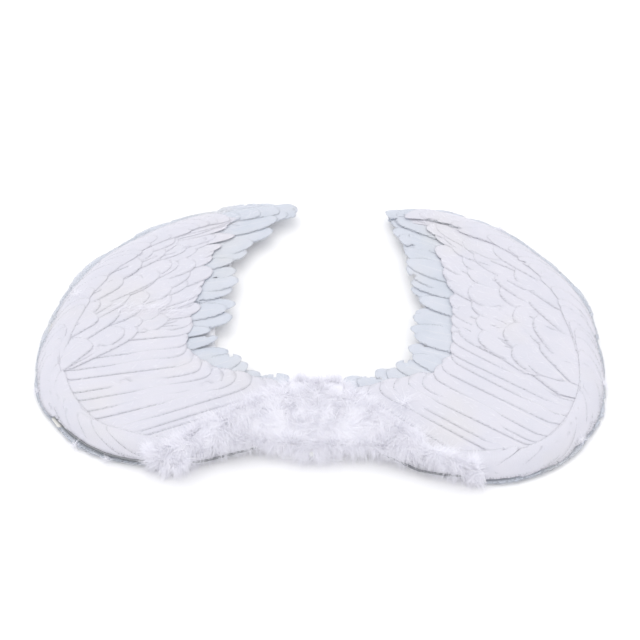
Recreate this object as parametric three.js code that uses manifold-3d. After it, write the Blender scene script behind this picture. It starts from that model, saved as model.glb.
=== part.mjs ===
// Feathered costume wings: two wings that fold on a steel spine bar, over a felt back pad with two
// elastic shoulder straps. They lie flat, feather side up.
// Frame: origin at the centre of the back pad's lower face, +X across the span, +Y towards the
// wing tips, +Z away from the wearer's back. Units are millimetres.
import * as THREE from "three";
import { mergeVertices } from "three/addons/utils/BufferGeometryUtils.js";
import Module from "manifold-3d";

// Driving dimensions
const SPAN = 596; // tip to tip of the rims, across both wings
const RISE = 343; // from the spine's middle up to the wing tips
const GAP = 0.3; // clearance between pieces that touch
const FOLD_MAX = THREE.MathUtils.degToRad(60); // how far each wing swings up

const PAD = { width: 70, length: 104, thickness: 3, corner: 8 };
const STIFFENER = { width: 40, length: 96, thickness: 1.2, corner: 5 };
const BAR = { radius: 1.5, clearance: 0.3, end: 2 }; // end: bar between a lashing and its cap
const WIRE = {
  radius: 1.2,
  turns: 2,
  inset: 7,
  returnInset: 18,
  rimFrom: 0.1, // shares of the rim and the covert border that the wire follows
  rimTo: 0.9,
  backFrom: 0.94,
  backTo: 0.14,
};
const TAIL_KNOTS = [0.35, 0.7, 1.08]; // shares of the way out to where the wings' layers begin
const EYE = { near: 22, apart: 2 }; // near: the inner pair of eyes, from the spine's middle
const LASHING = { width: 4, thickness: 1 };
const CAP = { length: 7, depth: 4.5, wall: 1.4 };
const TAB = { width: 20, thickness: 1.2, lap: 13, reach: 8.5, pressed: 0.2 }; // pressed: by the foot
const STRAP = { width: 18, thickness: 1.2, reach: 105, corner: 24, leg: 32 };

// Layers of a wing end at a share of the rim and of the covert border
const SHEET = { thickness: 1, rimInset: 5, edgeInset: 8, start: 0.03, rimEnd: 0.945, borderEnd: 0.98 };
const TAPE = { length: 36, width: 16, thickness: 0.4, corner: 2, beyond: 4 }; // beyond: past the wire
const TAPE_PLACES = [0.33, 0.52, 0.7]; // shares of the rim
const FLIGHT = { count: 11, lap: 76, width: 34, thickness: 0.5, first: 0.1, last: 0.97 };
const FLIGHT_ANGLES = [120, 140, 150, 152, 150]; // degrees, from the lowest feather to the tip
const COVERT = { thickness: 1, scallop: 5, start: 0.01, rimEnd: 0.955, borderEnd: 1 };
const UPPER_COVERT = { start: 0.5, edgeInset: 26, borderEnd: 0.88 };
const RIM = { width: 25, thickness: 1.5, backStart: 0.16, end: 0.98, taper: 0.12, scallop: 3 };
const HUB_FLUFF = { radius: 26, length: 104, tunnelClearance: 2.1, slotClearance: 0.6 };
const SLOT_BEYOND = THREE.MathUtils.degToRad(8); // a tail's slot opens this far past the fold
const WING_FLUFF = { pile: 18, steps: 12 };

// Heights, from the floor up
const STIFFENER_Z = PAD.thickness + GAP;
const FLOOR_OF_WIRE = STIFFENER_Z + STIFFENER.thickness + GAP;
const WIRE_Z = FLOOR_OF_WIRE + WIRE.radius;
const EYE_RADIUS = BAR.radius + BAR.clearance + WIRE.radius; // the coil's mean radius
const HINGE_Z = WIRE_Z + EYE_RADIUS;
const SHEET_Z = WIRE_Z + WIRE.radius + GAP;
const FEATHER_Z = SHEET_Z + SHEET.thickness + GAP;
const BACK_RIM = FLOOR_OF_WIRE - 2 * GAP - TAPE.thickness; // thickness of the rim's back feathers
const HUB_EDGE = HUB_FLUFF.radius + 1; // everything on a wing, bar its wire, stays outside this

// Places along the spine bar
const COIL_PITCH = 2 * WIRE.radius + GAP;
const COIL_LENGTH = WIRE.turns * COIL_PITCH;
const EYE_NEAR = EYE.near;
const EYE_FAR = EYE_NEAR + COIL_LENGTH + 2 * WIRE.radius + EYE.apart;
const OUTER_LASHING = EYE_FAR + COIL_LENGTH + WIRE.radius + 4 * GAP + LASHING.width / 2;
const BAR_HALF = OUTER_LASHING + LASHING.width / 2 + BAR.end + CAP.depth;

// Solids and cuts
const wasm = await Module();
wasm.setup();

function toManifold(geometry) {
  const bare = geometry.clone();
  bare.deleteAttribute("normal");
  bare.deleteAttribute("uv");
  const merged = mergeVertices(bare, 1e-4);
  return new wasm.Manifold(
    new wasm.Mesh({
      numProp: 3,
      vertProperties: merged.attributes.position.array,
      triVerts: new Uint32Array(merged.index.array),
    }),
  );
}

function toGeometry(manifold) {
  const mesh = manifold.getMesh();
  const geometry = new THREE.BufferGeometry();
  geometry.setAttribute("position", new THREE.BufferAttribute(mesh.vertProperties, 3));
  geometry.setIndex(new THREE.BufferAttribute(mesh.triVerts, 1));
  geometry.computeVertexNormals();
  return geometry;
}

// Turns a solid's faces outwards if they face in
function faceOut(geometry) {
  if (toManifold(geometry).volume() > 0) return geometry;
  const index = geometry.index.array;
  for (let i = 0; i < index.length; i += 3) {
    [index[i + 1], index[i + 2]] = [index[i + 2], index[i + 1]];
  }
  return geometry;
}

function plate(outline, thickness, z) {
  const shape = Array.isArray(outline) ? new THREE.Shape(outline) : outline;
  const options = { depth: thickness, bevelEnabled: false, curveSegments: 6 };
  return new THREE.ExtrudeGeometry(shape, options).translate(0, 0, z);
}

// A profile drawn in X and Z, extruded along Y about the middle y
function alongY(shape, length, y) {
  const options = { depth: length, bevelEnabled: false, curveSegments: 6 };
  const geometry = new THREE.ExtrudeGeometry(shape, options);
  return geometry.rotateX(Math.PI / 2).translate(0, y + length / 2, 0);
}

function circlePoints(radius, sides, z = 0) {
  const points = [];
  for (let i = 0; i < sides; i++) {
    const turn = (2 * Math.PI * (i + 0.5)) / sides;
    points.push(new THREE.Vector2(radius * Math.cos(turn), z + radius * Math.sin(turn)));
  }
  return points;
}

function roundedRectangle(width, length, corner) {
  const x = width / 2;
  const y = length / 2;
  const shape = new THREE.Shape();
  shape.absarc(x - corner, y - corner, corner, 0, Math.PI / 2);
  shape.absarc(-x + corner, y - corner, corner, Math.PI / 2, Math.PI);
  shape.absarc(-x + corner, -y + corner, corner, Math.PI, 1.5 * Math.PI);
  shape.absarc(x - corner, -y + corner, corner, 1.5 * Math.PI, 2 * Math.PI);
  return shape;
}

// A closed solid through rings that all have the same number of points
function loft(rings) {
  const count = rings[0].length;
  const last = (rings.length - 1) * count;
  const index = [];
  for (let r = 0; r < rings.length - 1; r++) {
    for (let i = 0; i < count; i++) {
      const a = r * count + i;
      const b = r * count + ((i + 1) % count);
      index.push(a, b, b + count, a, b + count, a + count);
    }
  }
  for (let i = 1; i < count - 1; i++) {
    index.push(0, i + 1, i, last, last + i, last + i + 1);
  }
  const geometry = new THREE.BufferGeometry().setFromPoints(rings.flat());
  geometry.setIndex(index);
  geometry.computeVertexNormals();
  return geometry;
}

// Materials
const material = (colour, roughness, metalness = 0) =>
  new THREE.MeshStandardMaterial({ color: colour, roughness, metalness });
const white = material("#f1f1f6", 0.75);
const bluish = material("#dfe6f0", 0.6);
const down = material("#f4f4f8", 0.95);
const felt = material("#f0eee9", 0.95);
const board = material("#d9d6cf", 0.8);
const steel = material("#8d8f92", 0.35, 1);
const plastic = material("#e8e8e8", 0.45);
const thread = material("#f3f1ec", 0.8);
const elastic = material("#f7f7f7", 0.85);
const fleece = material("#eeeef0", 0.9);

const wings = new THREE.Group();

function add(name, geometry, look, parent = wings) {
  const mesh = new THREE.Mesh(geometry, look.clone());
  mesh.name = name;
  parent.add(mesh);
  return mesh;
}

// Outlines of the right wing, seen from above. Each runs from the spine to the wing tip. A point
// is given as its share of the way from the middle's edge to the widest point, and of the rise.
const curve = (shares) =>
  new THREE.CatmullRomCurve3(
    shares.map(
      ([u, v]) => new THREE.Vector3(THREE.MathUtils.lerp(HUB_EDGE, SPAN / 2, u), v * RISE, 0),
    ),
  );

const rimCurve = curve([
  [0.012, -0.15],
  [0.196, -0.19],
  [0.454, -0.222],
  [0.712, -0.18],
  [0.911, -0.035],
  [0.996, 0.175],
  [0.978, 0.44],
  [0.845, 0.69],
  [0.601, 0.87],
  [0.314, 0.975],
  [0.166, 1],
  [0.055, 0.975],
]);

const tipCurve = curve([
  [0.01, 0.155],
  [0.177, 0.2],
  [0.258, 0.32],
  [0.258, 0.46],
  [0.232, 0.65],
  [0.177, 0.81],
  [0.055, 0.955],
]);

const covertCurve = curve([
  [0.012, 0.125],
  [0.177, 0.165],
  [0.317, 0.215],
  [0.417, 0.32],
  [0.413, 0.6],
  [0.34, 0.84],
  [0.24, 0.96],
]);

const fluffUpperEdge = curve([
  [0.004, 0.145],
  [0.12, 0.1],
  [0.24, -0.03],
  [0.34, -0.13],
  [0.5, -0.2],
]);

const fluffLowerEdge = curve([
  [0.004, -0.15],
  [0.12, -0.175],
  [0.25, -0.23],
  [0.38, -0.25],
  [0.5, -0.225],
]);

// The point at share t of a curve, moved to its left by inset
function beside(path, t, inset = 0) {
  const point = path.getPointAt(t);
  const along = path.getTangentAt(t);
  return new THREE.Vector3(point.x - along.y * inset, point.y + along.x * inset, 0);
}

function samples(path, from, to, count, inset) {
  const list = [];
  for (let i = 0; i <= count; i++) {
    const t = from + ((to - from) * i) / count;
    list.push(beside(path, t, typeof inset === "function" ? inset(i, t) : inset));
  }
  return list;
}

const flat = (points) => points.map((p) => new THREE.Vector2(p.x, p.y));

// The region between the rim and the covert border, from share start of both to their tip ends
function region({ start, rimEnd, borderEnd, rimInset, borderInset, count }) {
  const rim = samples(rimCurve, start, rimEnd, count, rimInset);
  const border = samples(covertCurve, start, borderEnd, count, borderInset);
  return flat([...rim, ...border.reverse()]);
}

// Spine: pad, stiffener, bar, caps and lashings
const padOutline = roundedRectangle(PAD.width, PAD.length, PAD.corner);
add("back_pad", plate(padOutline, PAD.thickness, 0), felt);
const stiffenerOutline = roundedRectangle(STIFFENER.width, STIFFENER.length, STIFFENER.corner);
add("stiffener_plate", plate(stiffenerOutline, STIFFENER.thickness, STIFFENER_Z), board);

const bar = new THREE.CylinderGeometry(BAR.radius, BAR.radius, 2 * BAR_HALF, 16);
add("spine_bar", bar.translate(0, 0, HINGE_Z), steel);

// A cup that closes the bar's end
function endCap() {
  const inner = BAR.radius + GAP;
  const outer = inner + CAP.wall;
  const profile = [
    [0, CAP.depth + GAP],
    [inner, CAP.depth + GAP],
    [inner, 0],
    [outer, 0],
    [outer, CAP.length - CAP.wall],
    [outer - CAP.wall, CAP.length],
    [0, CAP.length],
  ].map(([r, y]) => new THREE.Vector2(r, y));
  return faceOut(new THREE.LatheGeometry(profile, 16));
}
const capFoot = BAR_HALF - CAP.depth;
add("spine_cap_upper", endCap().translate(0, capFoot, HINGE_Z), plastic);
add("spine_cap_lower", endCap().rotateX(Math.PI).translate(0, -capFoot, HINGE_Z), plastic);

function lashing(y) {
  const hole = BAR.radius + GAP;
  const outer = hole + LASHING.thickness;
  const shape = new THREE.Shape();
  shape.moveTo(outer, FLOOR_OF_WIRE);
  shape.lineTo(outer, HINGE_Z);
  shape.absarc(0, HINGE_Z, outer, 0, Math.PI);
  shape.lineTo(-outer, FLOOR_OF_WIRE);
  shape.holes.push(new THREE.Path(circlePoints(hole, 16, HINGE_Z)));
  return alongY(shape, LASHING.width, y);
}
[-OUTER_LASHING, 0, OUTER_LASHING].forEach((y, i) => add(`lashing_${i + 1}`, lashing(y), thread));

// Sewn tabs that carry the straps: over the pad, down its side and out along the floor
const tabEdge = PAD.width / 2 + GAP;
const tabEnd = tabEdge + TAB.thickness + TAB.reach;

function tab(y) {
  const over = PAD.thickness + GAP;
  const top = over + TAB.thickness - TAB.pressed;
  const shape = new THREE.Shape();
  shape.moveTo(tabEdge - TAB.lap, over);
  shape.lineTo(tabEdge, over);
  shape.lineTo(tabEdge, 0);
  shape.lineTo(tabEnd, 0);
  shape.lineTo(tabEnd, TAB.thickness);
  shape.lineTo(tabEdge + TAB.thickness, TAB.thickness);
  shape.lineTo(tabEdge + TAB.thickness, top);
  shape.lineTo(tabEdge - TAB.lap, top);
  return alongY(shape, TAB.width, y);
}

// A strap: a flat U of elastic that starts at the two tabs
const strapStart = tabEnd + GAP;
function strap() {
  const outer = STRAP.leg + STRAP.width / 2;
  const inner = STRAP.leg - STRAP.width / 2;
  const end = strapStart + STRAP.reach;
  const bend = STRAP.corner;
  const fold = Math.max(STRAP.corner - STRAP.width, 2);
  const shape = new THREE.Shape();
  shape.moveTo(strapStart, -outer);
  shape.lineTo(end - bend, -outer);
  shape.absarc(end - bend, -outer + bend, bend, -Math.PI / 2, 0);
  shape.absarc(end - bend, outer - bend, bend, 0, Math.PI / 2);
  shape.lineTo(strapStart, outer);
  shape.lineTo(strapStart, inner);
  shape.absarc(end - STRAP.width - fold, inner - fold, fold, Math.PI / 2, 0, true);
  shape.absarc(end - STRAP.width - fold, -inner + fold, fold, 0, -Math.PI / 2, true);
  shape.lineTo(strapStart, -inner);
  return plate(shape, STRAP.thickness, 0);
}

// Marabou over the spine: a round body of down about the bar, with a tunnel for the eyes and a
// slot for each wire tail to swing in
function hubFluff() {
  const half = HUB_FLUFF.length / 2;
  const profile = [];
  const steps = 12;
  for (let i = 0; i <= steps; i++) {
    const y = half * (1 - (2 * i) / steps);
    const r = HUB_FLUFF.radius * Math.sqrt(1 - Math.abs(y / half) ** 4);
    profile.push(new THREE.Vector2(r, y));
  }
  const round = faceOut(new THREE.LatheGeometry(profile, 24));
  const tunnelRadius = EYE_RADIUS + WIRE.radius + HUB_FLUFF.tunnelClearance;
  const tunnel = new THREE.CylinderGeometry(tunnelRadius, tunnelRadius, 3 * half, 16);
  const floor = new THREE.BoxGeometry(4 * half, 4 * half, 2 * half);
  let body = toManifold(round.translate(0, 0, HINGE_Z));
  body = body.subtract(toManifold(tunnel.translate(0, 0, HINGE_Z)));
  body = body.subtract(toManifold(floor.translate(0, 0, FLOOR_OF_WIRE - half)));
  for (const [side, y] of [[1, EYE_FAR], [1, -EYE_NEAR], [-1, EYE_NEAR], [-1, -EYE_FAR]]) {
    body = body.subtract(toManifold(tailSlot(side, y)));
  }
  return toGeometry(body);
}

function tailSlot(side, y) {
  const far = 2 * HUB_FLUFF.radius;
  const open = FOLD_MAX + SLOT_BEYOND;
  const low = WIRE_Z - 2 * WIRE.radius;
  const shape = new THREE.Shape();
  shape.moveTo(0, low);
  shape.lineTo(0, HINGE_Z);
  shape.lineTo(side * far * Math.cos(open), HINGE_Z + far * Math.sin(open));
  shape.lineTo(side * far, HINGE_Z + far * Math.sin(open));
  shape.lineTo(side * far, low);
  return alongY(shape, 2 * (WIRE.radius + HUB_FLUFF.slotClearance), y);
}
add("spine_marabou", hubFluff(), down);

// Wing frame: one wire round the rim and back along the covert border, both ends wound into eyes
class EvenByKnot extends THREE.CatmullRomCurve3 {
  getUtoTmapping(u) {
    return u;
  }
}

// An eye's knots. direction is +1 where the wire leaves the eye and -1 where it comes back to it.
function eye(y, direction) {
  const knots = [];
  const perTurn = 10;
  const outwards = Math.sign(y);
  for (let i = WIRE.turns * perTurn; i >= 0; i--) {
    const turned = (-2 * Math.PI * i) / perTurn;
    knots.push(
      new THREE.Vector3(
        EYE_RADIUS * Math.sin(turned),
        y + (outwards * COIL_PITCH * i) / perTurn,
        HINGE_Z - EYE_RADIUS * Math.cos(turned),
      ),
    );
  }
  return direction > 0 ? knots : knots.reverse();
}

function frameWire(lowerEye, upperEye) {
  const tail = (y) => TAIL_KNOTS.map((share) => new THREE.Vector3(share * HUB_EDGE, y, WIRE_Z));
  const rim = samples(rimCurve, WIRE.rimFrom, WIRE.rimTo, 24, WIRE.inset);
  const back = samples(covertCurve, WIRE.backFrom, WIRE.backTo, 12, -WIRE.returnInset);
  const round = [...rim, ...back].map((p) => p.setZ(WIRE_Z));
  const knots = [
    ...eye(lowerEye, 1),
    ...tail(lowerEye),
    ...round,
    ...tail(upperEye).reverse(),
    ...eye(upperEye, -1),
  ];
  return new THREE.ExtrudeGeometry(new THREE.Shape(circlePoints(WIRE.radius, 8)), {
    steps: knots.length - 1,
    extrudePath: new EvenByKnot(knots),
    bevelEnabled: false,
  });
}

// The feathers show between the tip curve and the covert border, and lap in under the coverts
const shown = tipCurve.getPointAt(0.5).distanceTo(covertCurve.getPointAt(0.5));
const flightLength = FLIGHT.lap + shown;
const flightAngles = new THREE.SplineCurve(
  FLIGHT_ANGLES.map((degrees, i) => new THREE.Vector2(i, degrees)),
);

// Flight feathers: thin vanes, each tilted about its own shaft so that it lies over the next
function featherLine(i) {
  const share = i / (FLIGHT.count - 1);
  const tip = beside(tipCurve, THREE.MathUtils.lerp(FLIGHT.first, FLIGHT.last, share));
  const angle = THREE.MathUtils.degToRad(flightAngles.getPoint(share).y);
  const along = new THREE.Vector3(Math.cos(angle), Math.sin(angle), 0);
  const root = tip.clone().addScaledVector(along, -flightLength);
  return { tip, root, angle, along };
}

// The least distance between two neighbouring shafts, measured square to them
function leastPitch() {
  let least = Infinity;
  for (let i = 1; i < FLIGHT.count; i++) {
    const here = featherLine(i);
    const before = featherLine(i - 1);
    for (const end of ["tip", "root"]) {
      const step = new THREE.Vector3().subVectors(here[end], before[end]);
      least = Math.min(least, Math.abs(step.cross(before.along).z));
    }
  }
  return least;
}
const flightTilt = Math.atan((1.5 * FLIGHT.thickness + GAP) / leastPitch());
const flightRise = (FLIGHT.width / 2) * Math.sin(flightTilt);
const flightZ = FEATHER_Z + flightRise;

function vane() {
  const half = FLIGHT.width / 2;
  const shape = new THREE.Shape();
  shape.moveTo(-flightLength, -1.5);
  shape.bezierCurveTo(-0.95 * flightLength, -half, -0.8 * flightLength, -half, -half, -half);
  shape.bezierCurveTo(-0.4 * half, -half, 0, -0.5 * half, 0, 0);
  shape.bezierCurveTo(0, 0.5 * half, -0.4 * half, half, -half, half);
  shape.bezierCurveTo(-0.8 * flightLength, half, -0.95 * flightLength, half, -flightLength, 1.5);
  return plate(shape, FLIGHT.thickness, 0);
}

// Rows of white feathers, each row one layer with a scalloped edge
const COVERT_Z = flightZ + flightRise + FLIGHT.thickness + GAP;
const UPPER_Z = COVERT_Z + COVERT.thickness + GAP;
const RIM_Z = UPPER_Z + COVERT.thickness + GAP;
const FLUFF_Z = RIM_Z + RIM.thickness + GAP;

const scalloped = (inset) => (i) => inset + (i % 2 ? 0 : COVERT.scallop);

// The band of small feathers along the rim, narrowing to nothing at the wing tip
function rimBand(start) {
  const width = (i, t) => {
    const full = RIM.width * Math.min(1, (1 - t) / RIM.taper);
    return Math.max(full - (i % 2) * RIM.scallop, 1);
  };
  const outside = samples(rimCurve, start, RIM.end, 44, 0);
  const inside = samples(rimCurve, start, RIM.end, 44, width);
  return flat([...outside, ...inside.reverse()]);
}

// Marabou on a wing: a mound along the lower edge, low enough near the spine that the two wings
// clear each other when they are folded up
function wingFluff() {
  const crestLimit = (x) => HINGE_Z + (x - 2 * GAP) / Math.tan(FOLD_MAX) - FLUFF_Z;
  const rings = [];
  for (let s = 0; s <= WING_FLUFF.steps; s++) {
    const share = s / WING_FLUFF.steps;
    const upper = fluffUpperEdge.getPointAt(share);
    const lower = fluffLowerEdge.getPointAt(share);
    const pile = WING_FLUFF.pile * Math.sqrt(1.02 - share ** 3);
    const ring = [];
    for (let i = 0; i <= 10; i++) {
      const turn = (Math.PI * i) / 10;
      const point = lower.clone().lerp(upper, 0.5 + 0.5 * Math.cos(turn));
      const height = Math.min(pile, crestLimit(point.x));
      ring.push(point.setZ(FLUFF_Z + height * Math.sin(turn) ** 0.7));
    }
    rings.push(ring);
  }
  return faceOut(loft(rings));
}

// One wing, drawn as the right wing. The left one is its mirror image, with its own eyes.
function wing(side, mirror, lowerEye, upperEye) {
  const group = new THREE.Group();
  group.scale.x = mirror;
  wings.add(group);
  add(`${side}_frame_wire`, frameWire(lowerEye, upperEye), steel, group);
  const sheet = region({
    start: SHEET.start,
    rimEnd: SHEET.rimEnd,
    borderEnd: SHEET.borderEnd,
    rimInset: SHEET.rimInset,
    borderInset: -SHEET.edgeInset,
    count: 24,
  });
  add(`${side}_backing_sheet`, plate(sheet, SHEET.thickness, SHEET_Z), fleece, group);
  TAPE_PLACES.forEach((t, i) => {
    const middle = beside(rimCurve, t, WIRE.inset - TAPE.beyond + TAPE.length / 2);
    const along = rimCurve.getTangentAt(t);
    const tape = plate(roundedRectangle(TAPE.width, TAPE.length, TAPE.corner), TAPE.thickness, 0);
    const strip = add(`${side}_wire_tape_${i + 1}`, tape, fleece, group);
    strip.rotation.z = Math.atan2(along.y, along.x);
    strip.position.set(middle.x, middle.y, FLOOR_OF_WIRE - GAP - TAPE.thickness);
  });
  for (let i = 0; i < FLIGHT.count; i++) {
    const { tip, angle } = featherLine(i);
    const name = `${side}_flight_feather_${String(i + 1).padStart(2, "0")}`;
    const feather = add(name, vane(), bluish, group);
    feather.rotation.set(flightTilt, 0, angle, "ZYX");
    feather.position.set(tip.x, tip.y, flightZ);
  }
  const secondary = region({
    start: COVERT.start,
    rimEnd: COVERT.rimEnd,
    borderEnd: COVERT.borderEnd,
    rimInset: SHEET.rimInset,
    borderInset: scalloped(0),
    count: 36,
  });
  add(`${side}_secondary_coverts`, plate(secondary, COVERT.thickness, COVERT_Z), white, group);
  const upper = region({
    start: UPPER_COVERT.start,
    rimEnd: COVERT.rimEnd,
    borderEnd: UPPER_COVERT.borderEnd,
    rimInset: SHEET.rimInset,
    borderInset: scalloped(-UPPER_COVERT.edgeInset),
    count: 20,
  });
  add(`${side}_upper_coverts`, plate(upper, COVERT.thickness, UPPER_Z), white, group);
  add(`${side}_rim_feathers`, plate(rimBand(0), RIM.thickness, RIM_Z), white, group);
  add(`${side}_back_rim_feathers`, plate(rimBand(RIM.backStart), BACK_RIM, 0), white, group);
  add(`${side}_marabou`, wingFluff(), down, group);
  add(`${side}_strap`, strap(), elastic, group);
  add(`${side}_strap_tab_upper`, tab(STRAP.leg), elastic, group);
  add(`${side}_strap_tab_lower`, tab(-STRAP.leg), elastic, group);
}
wing("right", 1, -EYE_NEAR, EYE_FAR);
wing("left", -1, -EYE_FAR, EYE_NEAR);

export default wings;
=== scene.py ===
# %% [markdown]
# # Feathered costume wings
#
# Two feather wings that fold on a steel bar, a marabou boa along their lower edge, and on the
# wearer's side a felt pad with two elastic loops. The steel, the hinge and the flat shapes come
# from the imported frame. This lesson builds what has to look soft: feathers laid one over the
# other, down made of thousands of strands, felt, fleece and elastic.

# %% Load the frame
from math import cos, pi, radians, sin

import bpy
import numpy as np
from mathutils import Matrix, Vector, noise


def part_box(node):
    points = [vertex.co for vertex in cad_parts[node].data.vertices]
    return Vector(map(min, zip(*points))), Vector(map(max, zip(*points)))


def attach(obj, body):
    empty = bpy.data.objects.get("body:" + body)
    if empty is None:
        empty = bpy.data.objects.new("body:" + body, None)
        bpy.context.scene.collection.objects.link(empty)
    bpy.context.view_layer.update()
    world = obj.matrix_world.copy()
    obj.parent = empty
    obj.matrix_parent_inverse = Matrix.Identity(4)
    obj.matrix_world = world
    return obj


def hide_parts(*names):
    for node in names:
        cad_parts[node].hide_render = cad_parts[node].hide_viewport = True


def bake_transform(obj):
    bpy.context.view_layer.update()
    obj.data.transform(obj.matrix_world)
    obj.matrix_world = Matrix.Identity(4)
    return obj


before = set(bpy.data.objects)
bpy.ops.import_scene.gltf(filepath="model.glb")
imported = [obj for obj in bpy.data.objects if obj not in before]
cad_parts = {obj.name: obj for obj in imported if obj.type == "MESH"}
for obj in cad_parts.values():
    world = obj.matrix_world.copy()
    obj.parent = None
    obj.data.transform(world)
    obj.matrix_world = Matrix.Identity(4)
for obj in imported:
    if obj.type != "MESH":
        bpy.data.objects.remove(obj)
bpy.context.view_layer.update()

MM = 0.001
SIDES = {"left": -1, "right": 1}

# %% [markdown]
# ## Camera, floor and light
#
# The wings lie flat and are seen from about 43 degrees above. A long lens keeps the far tips
# nearly as wide as the near edge. The camera comes first, so that every later choice can be
# judged through it.

# %% Camera
AIM = Vector((-0.0029, 0.1412, 0.012))
AZIMUTH, ELEVATION, DISTANCE = radians(3.32), radians(43.3), 1.82
LENS = 94.75

camera = bpy.data.objects.new("camera", bpy.data.cameras.new("camera"))
bpy.context.collection.objects.link(camera)
camera.data.lens = LENS
back = Vector((sin(AZIMUTH) * cos(ELEVATION), -cos(AZIMUTH) * cos(ELEVATION), sin(ELEVATION)))
camera.location = AIM + back * DISTANCE
camera.rotation_mode = "QUATERNION"
camera.rotation_quaternion = (-back).to_track_quat("-Z", "Y")
bpy.context.scene.camera = camera
print("camera", [round(v, 3) for v in camera.location])

# %% [markdown]
# White on white only reads if the light has a direction. A pale sky fills everything, and one
# soft key comes from behind and above, so each feather edge that faces the viewer throws a thin
# shadow and the near side of the down falls into grey, deepened by a grey painted shade on the
# boa's underside. The floor is a little paler than the feathers, so that they stay visible
# against it.

# %% Colour and node helpers
def linear(code):
    """An sRGB hex colour as linear red, green and blue, with an alpha of one."""
    channels = [int(code[i : i + 2], 16) / 255 for i in (1, 3, 5)]
    bent = [c / 12.92 if c <= 0.04045 else ((c + 0.055) / 1.055) ** 2.4 for c in channels]
    return (*bent, 1.0)


def node(tree, kind, inputs=None, **settings):
    """Adds a node, sets it, and links or fills its inputs. A node is linked by its first output."""
    made = tree.nodes.new(kind)
    for key, value in settings.items():
        setattr(made, key, value)
    for socket, value in (inputs or {}).items():
        if isinstance(value, bpy.types.Node):
            value = next(output for output in value.outputs if output.enabled)
        if isinstance(value, bpy.types.NodeSocket):
            tree.links.new(value, made.inputs[socket])
        else:
            made.inputs[socket].default_value = value
    return made


def new_material(name, **shader_values):
    """A material with its principled shader set, its tree, and the shader."""
    material = bpy.data.materials.new(name)
    material.use_nodes = True
    tree = material.node_tree
    shader = tree.nodes["Principled BSDF"]
    for socket, value in shader_values.items():
        shader.inputs[socket.replace("_", " ")].default_value = value
    return material, tree, shader


print("mid grey, linear:", round(linear("#808080")[0], 3))

# %% Floor and light
SKY_COLOUR, SKY_STRENGTH = "#FCFCFF", 1.06
KEY_FROM = Vector((-0.3, 0.8, 0.95))
KEY_STRENGTH, KEY_WIDTH = 0.62, radians(50)
FLOOR_SIZE, FLOOR_DROP = 8, 0.8 * MM

world = bpy.data.worlds.new("sky")
bpy.context.scene.world = world
world.use_nodes = True
sky = world.node_tree.nodes["Background"]
sky.inputs["Color"].default_value = linear(SKY_COLOUR)
sky.inputs["Strength"].default_value = SKY_STRENGTH

key = bpy.data.objects.new("key", bpy.data.lights.new("key", "SUN"))
key.data.energy = KEY_STRENGTH
key.data.angle = KEY_WIDTH
key.rotation_mode = "QUATERNION"
key.rotation_quaternion = KEY_FROM.to_track_quat("Z", "Y")
bpy.context.collection.objects.link(key)

# Paper is matt: it takes the soft shadow and mirrors nothing.
paper, *_ = new_material("matt_paper_sweep", Base_Color=linear("#FEFEFE"), Roughness=0.9)
bpy.ops.mesh.primitive_plane_add(size=FLOOR_SIZE, location=(0, 0, -FLOOR_DROP))
floor = bpy.context.object
floor.name = "floor"
floor.data.materials.append(paper)
bpy.context.scene.view_settings.view_transform = "Standard"
print("floor", FLOOR_SIZE, "m across, key from", [round(v, 2) for v in KEY_FROM])

# %% [markdown]
# ## Feather materials
#
# The feathers are bleached goose, flat vanes of keratin barbs. Keratin is a clear horn, so it
# has a soft, broad gloss and lets some light through. Handling parts the barbs near a vane's
# edge, so the edge is left frayed: clear gaps open between barbs, more of them further out.
# Every vane carries a UV map for this. U is nought on the shaft and EDGE_U at the edges, V runs
# along the shaft in tenths of a metre from a start of its own, and rows of equal V follow the
# barbs.

# %% Light through, and frayed edges
UV_UNIT = 0.1
EDGE_U = 0.15
FRAY_GRAIN = (5.0, 120.0, 0.0)  # cells in a UV unit: half a vane long, under a millimetre wide
FRAY_RISE, BARB_HOLD, GAP_SOFTNESS = 3.0, 2.5, 0.3


def let_light_through(tree, shader, colour, share):
    """Mixes a translucent share into a thin material, and returns the mixed shader."""
    through = node(tree, "ShaderNodeBsdfTranslucent", {"Color": colour})
    mixed = node(tree, "ShaderNodeMixShader", {0: share, 1: shader, 2: through})
    tree.links.new(mixed.outputs["Shader"], tree.nodes["Material Output"].inputs["Surface"])
    return mixed


def part_the_edge(tree, uv, across, surface, closed):
    """Leaves gaps between the barbs, more of them the nearer they come to the vane's edge."""
    drawn = node(tree, "ShaderNodeVectorMath", {0: uv, 1: FRAY_GRAIN}, operation="MULTIPLY")
    barbs = node(tree, "ShaderNodeTexNoise", {"Vector": drawn, "Scale": 1.0})
    reach = node(tree, "ShaderNodeMath", {0: across}, operation="ABSOLUTE")
    rise = {0: reach, 1: FRAY_RISE / EDGE_U, 2: -closed}
    edge = node(tree, "ShaderNodeMath", rise, operation="MULTIPLY_ADD")
    hold = {0: barbs, 1: -BARB_HOLD, 2: edge}
    open_here = node(tree, "ShaderNodeMath", hold, operation="MULTIPLY_ADD")
    gap = node(tree, "ShaderNodeMapRange", {"Value": open_here, "From Max": GAP_SOFTNESS})
    clear = node(tree, "ShaderNodeBsdfTransparent")
    frayed = node(tree, "ShaderNodeMixShader", {0: gap, 1: surface, 2: clear})
    tree.links.new(frayed.outputs["Shader"], tree.nodes["Material Output"].inputs["Surface"])


print("a frayed barb is drawn", round(UV_UNIT / FRAY_GRAIN[1] / MM, 2), "mm wide")
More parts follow.
